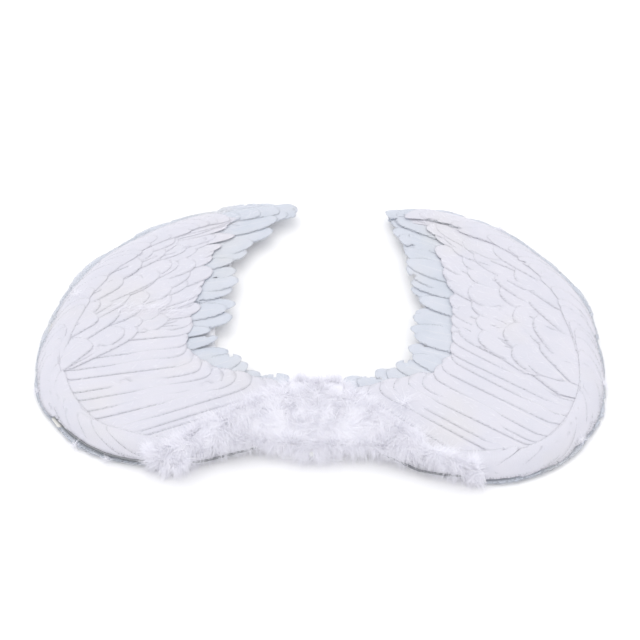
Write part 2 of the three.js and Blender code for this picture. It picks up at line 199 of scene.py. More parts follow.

# %% [markdown]
# The colour comes in soft patches with a few faint stains, as bleaching leaves them. A barb is
# about half a millimetre wide, too fine to show at this distance, so the ribs are drawn coarser,
# 1.4 mm apart, with painted shade darkening the colour a little in the grooves between them. The
# short white feathers are denser than the flight feathers, which are more open at the edge,
# ribbed more clearly, and painted a darker bluish grey as shade.

# %% Vane materials
BARB_PITCH = 1.4 * MM
PATCHES, STAINS = 38.0, 11.0  # in a metre: patches 26 mm across, stains 90 mm across
WANDER_GRAIN, WANDER = 30.0, 0.03  # in UV: a barb wanders 3 mm to and fro


def vane_material(name, body, shade, tint, tint_share, bump, roughness, closed):
    """Goose vane: patches of body and shade, tinted stains, ribbed barbs and a frayed edge."""
    material, tree, shader = new_material(
        name, Roughness=roughness, IOR=1.54, Sheen_Weight=0.15, Sheen_Roughness=0.5
    )
    place = node(tree, "ShaderNodeTexCoord")
    spot, uv = place.outputs["Object"], place.outputs["UV"]
    patches = node(tree, "ShaderNodeTexNoise", {"Vector": spot, "Scale": PATCHES, "Detail": 3.0})
    soft = node(tree, "ShaderNodeMapRange", {"Value": patches, "From Min": 0.35, "From Max": 0.68})
    colours = {"Factor": soft, "A": linear(body), "B": linear(shade)}
    base = node(tree, "ShaderNodeMix", colours, data_type="RGBA")
    stains = node(tree, "ShaderNodeTexNoise", {"Vector": spot, "Scale": STAINS, "Detail": 2.0})
    limits = {"Value": stains, "From Min": 0.56, "From Max": 0.7, "To Max": tint_share}
    stained = node(tree, "ShaderNodeMapRange", limits)
    colours = {"Factor": stained, "A": base, "B": linear(tint)}
    tinted = node(tree, "ShaderNodeMix", colours, data_type="RGBA")

    split = node(tree, "ShaderNodeSeparateXYZ", {"Vector": uv})
    grain = {"Vector": uv, "Scale": WANDER_GRAIN, "Detail": 1.0}
    wander = node(tree, "ShaderNodeTexNoise", grain)
    wandering = {0: wander, 1: WANDER, 2: split.outputs["Y"]}
    along = node(tree, "ShaderNodeMath", wandering, operation="MULTIPLY_ADD")
    turns = {0: along, 1: 2 * pi * UV_UNIT / BARB_PITCH}
    phase = node(tree, "ShaderNodeMath", turns, operation="MULTIPLY")
    barbs = node(tree, "ShaderNodeMath", {0: phase}, operation="SINE")
    relief = node(
        tree, "ShaderNodeBump", {"Height": barbs, "Strength": bump, "Distance": 0.2 * MM}
    )
    # Painted shade: the colour darkens by up to 7 % in the grooves between the ribs.
    depth = {"Value": barbs, "From Min": -1.0, "To Min": 0.93, "To Max": 1.0}
    groove_painted_shade = node(tree, "ShaderNodeMapRange", depth)
    coloured = node(tree, "ShaderNodeVectorMath", {0: tinted, "Scale": groove_painted_shade}, operation="SCALE")
    tree.links.new(coloured.outputs["Vector"], shader.inputs["Base Color"])
    tree.links.new(relief.outputs["Normal"], shader.inputs["Normal"])
    lit = let_light_through(tree, shader, coloured, 0.12)
    part_the_edge(tree, uv, split.outputs["X"], lit, closed)
    return material


white_vane = vane_material(
    "bleached_goose_vane", body="#E9E8F0", shade="#E5E5EE", tint="#EDE9E0", tint_share=0.22,
    bump=0.3, roughness=0.65, closed=1.7,
)
# The flight vane's darker bluish grey is painted shade, for a single layer with light through it.
flight_vane_painted_shade = vane_material(
    "goose_flight_vane_painted_shade", body="#E2E6EF", shade="#DAE0EA", tint="#E8E7E3", tint_share=0.4,
    bump=0.5, roughness=0.55, closed=1.45,
)
# The shaft is solid horn, smoother and a little glossier than the vane.
shaft_horn, *_ = new_material(
    "feather_shaft_horn", Base_Color=linear("#F1F0F2"), Roughness=0.4, IOR=1.54
)
print("vane materials", white_vane.name, flight_vane_painted_shade.name, shaft_horn.name)

# %% [markdown]
# ## One feather
#
# Thousands of small shapes have to end up as a few meshes, so they are first collected in a
# heap, in millimetres. A heap becomes one piece, and a thin modifier closes its flat vanes into
# shells.

# %% Heaps, grids and pieces
class Heap:
    """Collects the points, faces, UVs and material numbers of many small shapes."""

    def __init__(self):
        self.points, self.faces, self.uvs, self.slots, self.count = [], [], [], [], 0

    def add(self, points, faces, uvs, slot=0):
        self.points.append(points)
        self.faces.append(faces + self.count)
        self.uvs.append(uvs)
        self.slots.append(np.full(len(faces), slot))
        self.count += len(points)


def grid_faces(rows, columns):
    """Quads of a grid of points, rows by columns, as an array of point numbers."""
    corner = (np.arange(rows - 1)[:, None] * columns + np.arange(columns - 1)).ravel()
    return np.stack([corner, corner + 1, corner + columns + 1, corner + columns], axis=1)


def make_piece(name, heap, materials, thickness=0.0):
    """A mesh object from a heap in mm, with its UV map and materials."""
    mesh = bpy.data.meshes.new(name)
    points = np.concatenate(heap.points) * MM
    faces = np.concatenate(heap.faces)
    mesh.from_pydata(points.tolist(), [], faces.tolist())
    layer = mesh.uv_layers.new(name="vane")
    uvs = np.concatenate(heap.uvs)[faces.ravel()]
    layer.data.foreach_set("uv", uvs.astype(np.float32).ravel())
    mesh.polygons.foreach_set("material_index", np.concatenate(heap.slots).astype(np.int32))
    mesh.polygons.foreach_set("use_smooth", np.ones(len(faces), bool))
    for material in materials:
        mesh.materials.append(material)
    piece = bpy.data.objects.new(name, mesh)
    bpy.context.collection.objects.link(piece)
    if thickness:
        shell = piece.modifiers.new("shell", "SOLIDIFY")
        shell.thickness = thickness * MM
        shell.offset = -1
    print(name, len(points), "points", len(faces), "faces")
    return piece


print("a grid of 3 by 3 points has", len(grid_faces(3, 3)), "faces")

# %% [markdown]
# A feather is a shaft with a thin vane on each side. The vane is a grid whose rows lean forward
# from the shaft, as barbs do. The width follows a rounded outline, the section is arched, and a
# few rows part to leave the notches that handling gives a real feather.

# %% A vane and its shaft
ROWS, HALF_COLUMNS = 22, 4
ROW_CROWDING = 0.85  # below one, rows stand closer towards the tip
ROOT_TAPER = 0.14
BARB_LEAN = 0.55
SPLIT_ROWS = 2.2  # how many rows a split bends aside


def feather_shape(length, width, rng, bend=0.0, arch=0.12, tip=0.4, splits=2, lift=0.0,
                  point=2.2):
    """A vane in mm, root at the origin, shaft along +X: grid points, faces and UVs."""
    t = np.linspace(0, 1, ROWS) ** ROW_CROWDING
    s = np.linspace(-1, 1, 2 * HALF_COLUMNS + 1)
    over = np.clip((t - (1 - tip)) / tip, 0, 1)
    taper = np.clip(t / ROOT_TAPER, 0.12, 1) ** 0.6
    half = width / 2 * np.sqrt(1.0 - 0.985 * over**point) * taper
    lean = BARB_LEAN * np.abs(s) ** 1.3
    x = length * t[:, None] + lean * half[:, None] * (1 - over[:, None] ** 3)
    y = s * half[:, None] + bend * length * t[:, None] ** 2
    wave = 0.005 * width * np.sin(t * rng.uniform(5, 9) + rng.uniform(0, 6))[:, None] * s**2
    z = -arch * width * s**2 * (half[:, None] / (width / 2)) + wave
    z = z + lift * length * t[:, None] ** 2
    faces = grid_faces(ROWS, len(s))
    row = faces[:, 0] // len(s)
    column = faces[:, 0] % len(s)
    keep = np.ones(len(faces), bool)
    for _ in range(splits):
        side = rng.choice([-1, 1])
        at = int(rng.integers(ROWS // 3, ROWS - 3))
        depth = rng.uniform(0.5, 0.8)
        reach = np.clip((s * side - depth) / (1 - depth), 0, 1)
        near = np.exp(-(((np.arange(ROWS) - at - 0.5) / SPLIT_ROWS) ** 2))
        away = np.where(np.arange(ROWS) > at, 1.0, -1.0) * near * rng.uniform(0.6, 1.6)
        x = x + away[:, None] * reach
        z = z - 0.5 * np.abs(away)[:, None] * reach
        outer = s[column + (1 if side > 0 else 0)] * side > depth
        keep &= ~((row == at) & outer)
    points = np.stack([x, y, z], axis=2).reshape(-1, 3)
    along = length * MM / UV_UNIT * t[:, None] + 0 * x
    uvs = np.stack(np.broadcast_arrays(EDGE_U * s[None], along), axis=2).reshape(-1, 2)
    return points, faces[keep], uvs + [0, rng.uniform(0, 50)]


def shaft_shape(length, bend, lift, thick):
    """A three-sided ridge along the middle of a vane."""
    t = np.linspace(-0.03, 0.9, 10)
    along = np.clip(t, 0, 1)
    radius = thick * (1 - 0.8 * along)
    y = bend * length * along**2
    z = lift * length * along**2
    rows = [
        np.stack([length * t, y + sideways * radius, z + up * radius], axis=1)
        for sideways, up in ((-0.8, -0.3), (0, 0.6), (0.8, -0.3))
    ]
    points = np.stack(rows, axis=1).reshape(-1, 3)
    return points, grid_faces(len(t), 3), np.zeros((len(points), 2))


print("one vane:", ROWS * (2 * HALF_COLUMNS + 1), "points")

# %% [markdown]
# A feather is laid by its tip and its heading. The right wing is worked in plan and the left
# one is its mirror, with its faces turned. Near the rim every feather is glued down round the
# wire, so points there roll over it.

# %% Laying a feather
ROLL_WIDTH, ROLL_DROP = 21, 9.3
LOWEST = 0.4


def settle(points, outline):
    """Points near the outline roll down over the rim wire."""
    inset = outline.inset(points[:, :2])
    share = np.clip(1 - inset / ROLL_WIDTH, 0, 1.15)
    points[:, 2] = np.maximum(points[:, 2] - ROLL_DROP * share**2, LOWEST)
    return points


def lay_feather(heap, end, angle, height, roll, side, rng, rolled=True, thick=0.4, **shape):
    """Puts one feather into a heap: end is its tip in plan mm, angle its heading there."""
    length, bend, lift = shape["length"], shape.get("bend", 0.0), shape.get("lift", 0.0)
    parts = [feather_shape(rng=rng, **shape)]
    if thick:
        parts.append(shaft_shape(length * 0.98, bend, lift, thick))
    root = end - length * np.array([cos(angle), sin(angle)])
    c, s = cos(roll), sin(roll)
    turn_roll = np.array([[1, 0, 0], [0, c, -s], [0, s, c]])
    c, s = cos(angle), sin(angle)
    turn = np.array([[c, -s, 0], [s, c, 0], [0, 0, 1]]) @ turn_roll
    for slot, (points, faces, uvs) in enumerate(parts):
        placed = points @ turn.T + np.array([*root, height])
        if rolled:
            placed = settle(placed, rim[side])
        placed[:, 0] *= SIDES[side]
        heap.add(placed, faces if side == "right" else faces[:, ::-1], uvs, slot)


print("feathers drop", ROLL_DROP, "mm over the last", ROLL_WIDTH, "mm before the rim")


# %% [markdown]
# ## Outlines of the wings
#
# Each wing is drawn as three lines from the spine to the tip: the rim, the tips of the flight
# feathers, and the border where the white coverts end. The two wings of a handmade pair are
# never quite alike, so each side has its own points, in mm, X outwards from the middle.

# %% Outline points
RIM = {
    "right": [(32, -52), (100, -60), (150, -71), (190, -69), (235, -50), (276, -6), (295, 50),
              (297, 110), (289, 178), (256, 244), (192, 311), (122, 341), (80, 346), (52, 336)],
    "left": [(32, -52), (100, -60), (150, -68), (200, -62), (242, -38), (274, -5), (294, 45),
             (297, 98), (290, 155), (272, 205), (244, 248), (190, 297), (118, 331), (42, 352)],
}
TIPS = {
    "right": [(24, 52), (50, 63), (72, 70), (90, 88), (96, 115), (95, 145), (98, 175), (92, 215),
              (86, 245), (78, 282), (66, 310), (52, 332)],
    "left": [(24, 48), (45, 52), (64, 62), (84, 76), (97, 98), (101, 125), (101, 170), (95, 205),
             (92, 240), (80, 268), (60, 300), (36, 338)],
}
BORDER = {
    "right": [(34, 40), (70, 50), (110, 66), (136, 92), (142, 120), (142, 165), (138, 205),
              (127, 250), (117, 288), (104, 322)],
    "left": [(34, 40), (70, 48), (112, 62), (138, 88), (142, 120), (141, 160), (137, 200),
             (130, 240), (116, 275), (92, 312)],
}
print("points in each rim:", {side: len(RIM[side]) for side in SIDES})

# %% [markdown]
# A curve that passes smoothly through its points serves for all three lines. It is read by its
# share of length, so a row of feathers can be spaced evenly along it, and it can tell how far
# inside it a point lies.

# %% Smooth curves
class Line:
    """A smooth curve through plan points, read by its share of length."""

    def __init__(self, points, steps=24):
        p = np.array(points, float)
        p = np.vstack([2 * p[0] - p[1], p, 2 * p[-1] - p[-2]])
        t = np.linspace(0, 1, steps, endpoint=False)[:, None]
        parts = []
        for a, b, c, d in zip(p, p[1:], p[2:], p[3:]):
            cubic = (-a + 3 * b - 3 * c + d) * t**3 + (2 * a - 5 * b + 4 * c - d) * t**2
            parts.append(0.5 * (cubic + (c - a) * t + 2 * b))
        self.points = np.vstack([*parts, p[-2]])
        step = np.linalg.norm(np.diff(self.points, axis=0), axis=1)
        self.shares = np.concatenate([[0], np.cumsum(step)]) / step.sum()
        self.length = step.sum()

    def at(self, share):
        return np.array([np.interp(share, self.shares, self.points[:, i]) for i in (0, 1)])

    def heading(self, share):
        step = self.at(min(share + 0.01, 1)) - self.at(max(share - 0.01, 0))
        return (np.arctan2(step[1], step[0]) + pi / 2) % (2 * pi) - pi / 2

    def inset(self, points):
        """How far inside the curve, on its left, each plan point lies."""
        away = points[:, None] - self.points[None, ::3]
        nearest = np.argmin((away**2).sum(axis=2), axis=1)
        step = np.gradient(self.points[::3], axis=0)[nearest]
        left = np.stack([-step[:, 1], step[:, 0]], axis=1)
        left /= np.linalg.norm(left, axis=1)[:, None] + 1e-9
        return (away[np.arange(len(points)), nearest] * left).sum(axis=1)

    def beside(self, share, inset):
        """The point moved to the left of the curve's direction by inset."""
        angle = self.heading(share) + pi / 2
        return self.at(share) + inset * np.array([cos(angle), sin(angle)])


def dice(side, seed):
    """Random numbers that are the same in each run, and others for each wing."""
    return np.random.default_rng(seed + (side == "right"))


def spread(values, share):
    """A value read smoothly from an even list."""
    return float(np.interp(share, np.linspace(0, 1, len(values)), values))


rim = {side: Line(RIM[side]) for side in SIDES}
tips = {side: Line(TIPS[side]) for side in SIDES}
border = {side: Line(BORDER[side]) for side in SIDES}
print("rim lengths, mm:", {side: round(rim[side].length) for side in SIDES})

# %% Heights of the layers, in mm, read from the frame
SHEET_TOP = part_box("right_backing_sheet")[1].z / MM
COVERT_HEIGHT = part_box("right_secondary_coverts")[0].z / MM
FLIGHT_HEIGHT = COVERT_HEIGHT - 1.4
UPPER_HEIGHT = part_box("right_upper_coverts")[0].z / MM
RIM_HEIGHT = UPPER_HEIGHT + 0.6
BACK_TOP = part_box("right_back_rim_feathers")[1].z / MM
print("layer heights, mm:", [round(v, 1) for v in (SHEET_TOP, COVERT_HEIGHT, RIM_HEIGHT)])

# %% [markdown]
# ## Flight feathers
#
# The long flight feathers are the lowest layer. Only their last 45 mm show, beyond the coverts,
# with some light coming through them; their bluish grey is painted shade. Each frame node holds
# a pair of neighbours. They roll about their shafts, so that each lies over the one below.

# %% Flight feathers
FLIGHT_PAIRS = 11
FLIGHT_ANGLES = {
    "right": [150, 150, 158, 168, 168, 164, 160, 157, 152],
    "left": [150, 148, 158, 168, 168, 163, 160, 162, 165],
}
TIP_FAN = {"left": [0.99, 0.965, 0.935, 0.9, 0.86], "right": [0.99, 0.975, 0.955, 0.93, 0.9]}
NOTCHES = {"left": [113, 236], "right": []}
NOTCH_REACH, NOTCH_DEPTH, NOTCH_WIDTH = 9, 13, 22
BLUNT_FROM = {"left": 0.94, "right": 1.0}  # past this share the feathers are long and blunt


def make_flights(side):
    rng = dice(side, 11)
    for pair in range(FLIGHT_PAIRS):
        heap = Heap()
        for member in (0, 1):
            share = (2 * pair + member + 0.4) / (2 * FLIGHT_PAIRS)
            angle = radians(spread(FLIGHT_ANGLES[side], share) + rng.normal(0, 3))
            end = tips[side].beside(share, rng.normal(0, 2.0) - 3 * member)
            length, width, tip, point = 80 + 25 * min(1, share / 0.3), rng.uniform(28, 34), 0.5, 1.9
            if any(abs(end[1] - notch) < NOTCH_REACH for notch in NOTCHES[side]):
                end, width = end + np.array([NOTCH_DEPTH, 0]), NOTCH_WIDTH
            if share > BLUNT_FROM[side]:
                length, width, tip, point = 130, 34, 0.16, 2.2
            lay_feather(
                heap, end, angle, FLIGHT_HEIGHT + 0.4 * member, radians(1.5), side, rng,
                length=length, width=width, bend=rng.normal(0, 0.03), arch=0.015, tip=tip,
                point=point, splits=int(rng.integers(0, 3)), lift=rng.uniform(-0.01, 0.02),
            )
        if pair == FLIGHT_PAIRS - 1:
            lay_tip_fan(heap, side, rng)
        name = f"{side}_flight_feather_{pair + 1:02d}"
        piece = make_piece(f"{name}_vanes", heap, [flight_vane_painted_shade, shaft_horn], 0.15)
        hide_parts(name)
        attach(piece, f"{side}_wing")


def lay_tip_fan(heap, side, rng):
    """Feathers fanned round the wing tip, blunt on the left wing and pointed on the right."""
    width, tip = (26, 0.3) if side == "left" else (20, 0.6)
    for step, share in enumerate(TIP_FAN[side]):
        end = rim[side].beside(share, 13)
        angle = rim[side].heading(share) + radians(rng.normal(-13, 3))
        lay_feather(
            heap, end, angle, FLIGHT_HEIGHT + 1.0 + 0.3 * step, radians(1), side, rng,
            length=80, width=width, bend=0.12, arch=0.01, tip=tip, splits=1,
        )


for side in SIDES:
    make_flights(side)

# %% [markdown]
# ## White coverts
#
# Over the roots of the flight feathers lie long secondaries, side by side across the lower half
# of the wing, and broad coverts in rows over the upper half. Both are laid like roof tiles: the
# row at the border first, each next row over its roots. A feather's near edge sits a little
# above its neighbour, which leaves the fine shadow lines.

# %% Where a covert fits
RIM_COVER = 7


def fitted_length(side, end, angle, longest):
    """The length at which a feather with this tip has its root just under the rim band."""
    step = np.array([cos(angle), sin(angle)])
    lengths = np.arange(40, longest + 1, 3)
    roots = end - lengths[:, None] * step
    fits = rim[side].inset(roots) > RIM_COVER
    if fits.all():
        return longest
    return float(lengths[np.argmin(fits)]) if fits[0] else 0.0


def across(side, share, part):
    """A plan point between the covert border, part 0, and the rim, part 1."""
    return (1 - part) * border[side].at(share) + part * rim[side].at(share)


print("a covert ends", RIM_COVER, "mm or more inside the rim")

# %% Secondaries
SECONDARY_ANGLES = {"right": [142, 145, 147, 148, 148], "left": [150, 158, 164, 169, 172]}
SECONDARY_COUNT, EXTRA_NEAR, NEAR_STEP = 14, 2, 13
BORDER_START, BORDER_SHARE = 0.02, 0.54


def make_secondaries(side):
    """The row along the border, and two more feathers on the viewer's side of where it starts."""
    rng = dice(side, 21)
    heap = Heap()
    for i in range(-EXTRA_NEAR, SECONDARY_COUNT):
        share = i / (SECONDARY_COUNT - 1)
        angle = radians(spread(SECONDARY_ANGLES[side], share) + rng.normal(0, 1.3))
        at = BORDER_START + BORDER_SHARE * max(share, 0)
        end = border[side].beside(at, rng.normal(0, 2))
        end[1] -= NEAR_STEP * max(-i, 0)
        length = fitted_length(side, end, angle, 210)
        lay_feather(
            heap, end, angle, COVERT_HEIGHT + 0.6, radians(1.15), side, rng,
            length=length, width=rng.uniform(30, 35), bend=rng.normal(0, 0.012), arch=0.006,
            tip=0.2, splits=int(rng.random() < 0.3),
        )
    return heap


print("secondaries on each wing:", SECONDARY_COUNT + EXTRA_NEAR)

# %% [markdown]
# The coverts over the upper half are shorter and broader. Their rows turn from across the wing
# at the border to along it at the rim, and they get narrower where the wing does.

# %% Upper coverts
COVERT_ROWS = {"right": 4, "left": 5}
COVERT_COUNTS = {"right": 10, "left": 13}  # in the first row; each next row has one less
COVERT_START, COVERT_END = 0.46, 0.94
COVERT_ANGLES = {"right": [152, 150, 148, 150, 152], "left": [168, 158, 152, 154, 160]}
COVERT_WIDTHS = {"right": (34, 46), "left": (26, 34)}
FULL_WIDTH = 110  # where the wing is this wide in mm, the coverts have their full width


def make_coverts(side):
    rng = dice(side, 31)
    heap = Heap()
    for row in range(COVERT_ROWS[side]):
        part = 0.85 * row / COVERT_ROWS[side]
        count = COVERT_COUNTS[side] - row
        for i in range(count):
            share = COVERT_START + (COVERT_END - COVERT_START) * (i + 0.5 * (row % 2)) / count
            end = across(side, share, part) + rng.normal(0, 4.0, 2)
            wing_width = np.linalg.norm(across(side, share, 1) - across(side, share, 0))
            narrowing = np.clip(wing_width / FULL_WIDTH, 0.55, 1)
            along_rim = rim[side].heading(share)
            upper_share = (share - COVERT_START) / (1 - COVERT_START)
            straight = radians(spread(COVERT_ANGLES[side], upper_share))
            angle = straight + 0.9 * part * (along_rim - straight) + radians(rng.normal(0, 4))
            length = fitted_length(side, end, angle, rng.uniform(90, 125))
            if not length:
                continue
            lay_feather(
                heap, end, angle, UPPER_HEIGHT - 0.5 + 0.18 * row, radians(0.6), side, rng,
                length=length, width=rng.uniform(*COVERT_WIDTHS[side]) * narrowing,
                bend=rng.normal(0, 0.03), arch=0.004, tip=0.42, splits=int(rng.random() < 0.2),
            )
    return heap


for side in SIDES:
    for name, heap in (
        ("secondary_coverts", make_secondaries(side)),
        ("upper_coverts", make_coverts(side)),
    ):
        piece = make_piece(f"{side}_{name}_row", heap, [white_vane, shaft_horn], 0.08)
        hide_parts(f"{side}_{name}")
        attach(piece, f"{side}_wing")

# %% [markdown]
# ## Rim feathers
#
# Small feathers lie along the rim, tips towards the wing tip, and roll down over the wire. The
# row on the back is more frayed, its bluish grey is painted shade, and it stands out a little
# past the front one. Low on the left wing the front row sits further in and shows more of it. A
# hidden row lies under the front band, so that nothing dark is seen between the band and the
# secondaries' roots.

# %% Rim bands
SET_BACK = {"left": (0.12, 0.34), "right": (2, 2)}  # shares of the rim; past one means nowhere
LUMPY_EDGE = {"left": (0.42, 0.9), "right": (0.45, 0.8)}
RIM_SHOWN = {"left": 5, "right": 1.5}
RIM_INSET, SET_BACK_BY = 12.5, 1.5
BACK_ROW = {"first": 0.14, "last": {"left": 0.88, "right": 0.88}, "count": 48}
FRONT_ROW = {"first": 0.11, "last": {"left": 0.8, "right": 0.86}, "count": 32}
SHORT_FROM = 0.75  # past this share of the rim the feathers are a fifth shorter


def rim_curve(side, share, length):
    """How far the rim turns over a length in mm, in radians."""
    further = min(share + length / rim[side].length, 1)
    return rim[side].heading(further) - rim[side].heading(share)


def rim_inset(side, share, below, rng):
    """How far inside the rim a feather's shaft lies, in mm."""
    set_back = SET_BACK_BY * (SET_BACK[side][0] < share < SET_BACK[side][1])
    near_edge = np.clip(1 - abs(share - 0.25) / 0.2, 0, 1)
    inset = RIM_INSET + rng.normal(0, 0.5) + (-near_edge if below else set_back)
    start, end = LUMPY_EDGE[side]
    if start < share < end:
        standing_out = min(1, (share - start) / 0.25)
        inset += rng.normal(-5, 2) * standing_out if below else RIM_SHOWN[side]
    return inset


def make_rim(side, below):
    rng = dice(side, 41 + 10 * below)
    heap = Heap()
    row = BACK_ROW if below else FRONT_ROW
    first, last = row["first"], row["last"][side]
    for share in first + (last - first) * np.arange(row["count"]) / (row["count"] - 1):
        inset = rim_inset(side, share, below, rng)
        length = rng.uniform(74, 90) * (0.8 if share > SHORT_FROM else 1)
        angle = rim[side].heading(share)
        lean = rng.normal(0.02, 0.03) if below else rng.normal(0.15, 0.03)
        step = np.array([cos(angle), sin(angle)])
        lay_feather(
            heap, rim[side].beside(share, inset) + length * step, angle,
            BACK_TOP - 1.5 if below else RIM_HEIGHT,
            radians(0 if below else -1.2), side, rng, rolled=not below, length=length,
            width=rng.uniform(25, 28), bend=0.5 * rim_curve(side, share, length) + lean,
            arch=0.008, tip=0.62, splits=int(rng.random() < (0.9 if below else 0.3)),
            lift=0.012, thick=0,
        )
    if not below:
        lay_under_row(side, heap, last, rng)
    return heap


def lay_under_row(side, heap, last, rng, first=0.09, count=30, inset=23, length=70):
    """The hidden row under the front band."""
    for share in np.linspace(first, last, count):
        angle = rim[side].heading(share)
        end = rim[side].beside(share, inset) + length * np.array([cos(angle), sin(angle)])
        lay_feather(
            heap, end, angle, COVERT_HEIGHT - 0.4, 0, side, rng, length=length, width=30,
            bend=0.5 * rim_curve(side, share, length), arch=0.0, tip=0.4, splits=0, thick=0,
        )


for side in SIDES:
    for name, below, material in (
        ("rim_feathers", 0, white_vane),
        ("back_rim_feathers", 1, flight_vane_painted_shade),
    ):
        piece = make_piece(
            f"{side}_{name}_row", make_rim(side, below), [material, shaft_horn], 0.15
        )
        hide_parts(f"{side}_{name}")
        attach(piece, f"{side}_wing")

# %% [markdown]
# ## Marabou
#
# Marabou is turkey down: a cord so thick with soft barbs that it reads as a cloud. A lumpy core
# stops the eye from seeing through, and thousands of thin tapering strands grow from it. Each
# strand is a ribbon a few tenths of a millimetre wide.

# %% Down material
# Down is matt and lets some light through, and its colour only varies in soft patches, 11 mm
# across. Light scatters through down far oftener than the renderer follows it, so a faint glow
# gives it back.
down_material, down_tree, down_shader = new_material(
    "turkey_marabou_down", Roughness=0.9, Sheen_Weight=0.5, Sheen_Roughness=0.5,
    Emission_Color=linear("#F6F6FC"), Emission_Strength=0.035,
)
down_spot = node(down_tree, "ShaderNodeTexCoord").outputs["Object"]
down_grain = {"Vector": down_spot, "Scale": 90.0, "Detail": 3.0}
down_noise = node(down_tree, "ShaderNodeTexNoise", down_grain)
down_colours = {"Factor": down_noise, "A": linear("#FBFAFE"), "B": linear("#F4F4FA")}
down_mix = node(down_tree, "ShaderNodeMix", down_colours, data_type="RGBA").outputs["Result"]
down_tree.links.new(down_mix, down_shader.inputs["Base Color"])
let_light_through(down_tree, down_shader, down_mix, 0.15)

# The near underside of the boa is painted grey as shade, so it reads dark behind the fringe.
painted_shade_down, *_ = new_material(
    "painted_shade_under_down", Base_Color=linear("#8C8E97"), Roughness=0.95, Sheen_Weight=0.2
)
print("down materials", down_material.name, painted_shade_down.name)

# %% [markdown]
# The boa is one mound from wing to wing. Its edges in plan are two curves for each side, and a
# half ellipse stands between them. Its cord is twisted, so the body swells and sinks in lumps.

# %% Where the boa runs
MOUND_UPPER = {
    "right": [(-27, 46), (0, 46), (30, 40), (60, 9), (80, -8), (100, -26), (125, -50), (165, -68)],
    "left": [(-27, 46), (0, 46), (30, 40), (60, 15), (90, -8), (120, -34), (145, -58), (160, -62)],
}
MOUND_LOWER = {
    "right": [(-27, -47), (0, -47), (30, -45), (55, -44), (80, -47), (105, -54), (135, -63),
              (172, -72)],
    "left": [(-27, -47), (0, -47), (30, -45), (60, -43), (92, -52), (116, -64), (134, -78),
             (160, -67)],
}
MOUND_TOPS = [26, 26, 26, 27, 27, 26, 24, 18]
MOUND_LOW = 3.0
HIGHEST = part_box("spine_marabou")[1].z / MM + 9


def mound_point(side, share, turn):
    """A point on the mound in mm: share along it, turn from the upper edge over the top."""
    upper = mound_edges[side][0].at(share)
    lower = mound_edges[side][1].at(share)
    middle, half = (upper + lower) / 2, (upper - lower) / 2
    flat = middle + half * cos(turn)
    top = spread(MOUND_TOPS, share)
    centre = (top + MOUND_LOW) / 2
    height = centre + (top - centre) * sin(turn)
    return np.array([flat[0], flat[1], height])


mound_edges = {side: (Line(MOUND_UPPER[side]), Line(MOUND_LOWER[side])) for side in SIDES}
print("boa lengths, mm:", {side: round(mound_edges[side][0].length) for side in SIDES})

# %% The lumpy core
BIG_LUMPS, SMALL_LUMPS = (16, 1.6), (6, 0.7)  # size and depth, in mm
SUNK, CORE_LOWEST = 2.0, 1.0
END_RINGS, END_CLOSED = 6, 0.25  # the last rings shrink to a quarter, to close the end


def lumps(point, size, depth):
    """How far the mound swells at a point in mm."""
    return depth * noise.noise(Vector(point) / size)


def add_core(heap, side, first, last, shares, around=30):
    """The boa's body between two shares of its length; its near underside is slot 1, painted shade.
    """
    grid = np.zeros((shares, around + 1, 3))
    for i in range(shares):
        share = first + (last - first) * i / (shares - 1)
        for j in range(around + 1):
            turn = 2 * pi * j / around
            point = mound_point(side, share, turn)
            out = np.array([0, cos(turn), sin(turn)])
            swell = lumps(point, *BIG_LUMPS) + lumps(point, *SMALL_LUMPS)
            grid[i, j] = point + out * (swell - SUNK)
        if last == 1.0:
            closing = min(1.0, END_CLOSED + (shares - 1 - i) / END_RINGS)
            middle = grid[i].mean(axis=0)
            grid[i] = middle + (grid[i] - middle) * closing
    grid[:, :, 2] = np.maximum(grid[:, :, 2], CORE_LOWEST)
    grid[:, :, 0] *= SIDES[side]
    faces = grid_faces(shares, around + 1)
    if side == "left":
        faces = faces[:, ::-1]
    column = np.arange(len(faces)) % around
    # The faces of the near underside take the grey painted shade material.
    shaded = (column > 0.5 * around) & (column < 0.8 * around)
    points, uvs = grid.reshape(-1, 3), np.zeros((grid.size // 3, 2))
    heap.add(points, faces[~shaded], uvs)
    heap.add(points, faces[shaded], uvs, 1)


print("core lumps, mm:", BIG_LUMPS[0], "and", SMALL_LUMPS[0])

# %% [markdown]
# A strand is a ribbon that tapers and curls a little. Its flat side faces mostly up, or the
# light would catch each ribbon differently and the cloud would turn to straw. Neighbours share
# a direction, read from a smooth noise, so they fall in clumps.

# %% Strands
FACING_CLUMP, COMB_CLUMP, FRINGE_CLUMP = 9, 17, 7  # in mm
CLUMP_SEED = 7
noise.seed_set(CLUMP_SEED)  # without it, the clumps would fall differently in each run


def unit(vectors):
    return vectors / (np.linalg.norm(vectors, axis=1)[:, None] + 1e-9)


def clumps(points, size):
    """A smooth random vector for each point, alike over a size in mm."""
    return np.array([noise.noise_vector(Vector(p) / size) for p in points])


def facing_of(out, points):
    """The way the flat of a strand faces: mostly up, uneven from clump to clump."""
    return unit(out * 0.2 + np.array([0, -0.12, 1.0]) + clumps(points, FACING_CLUMP) * 0.2)


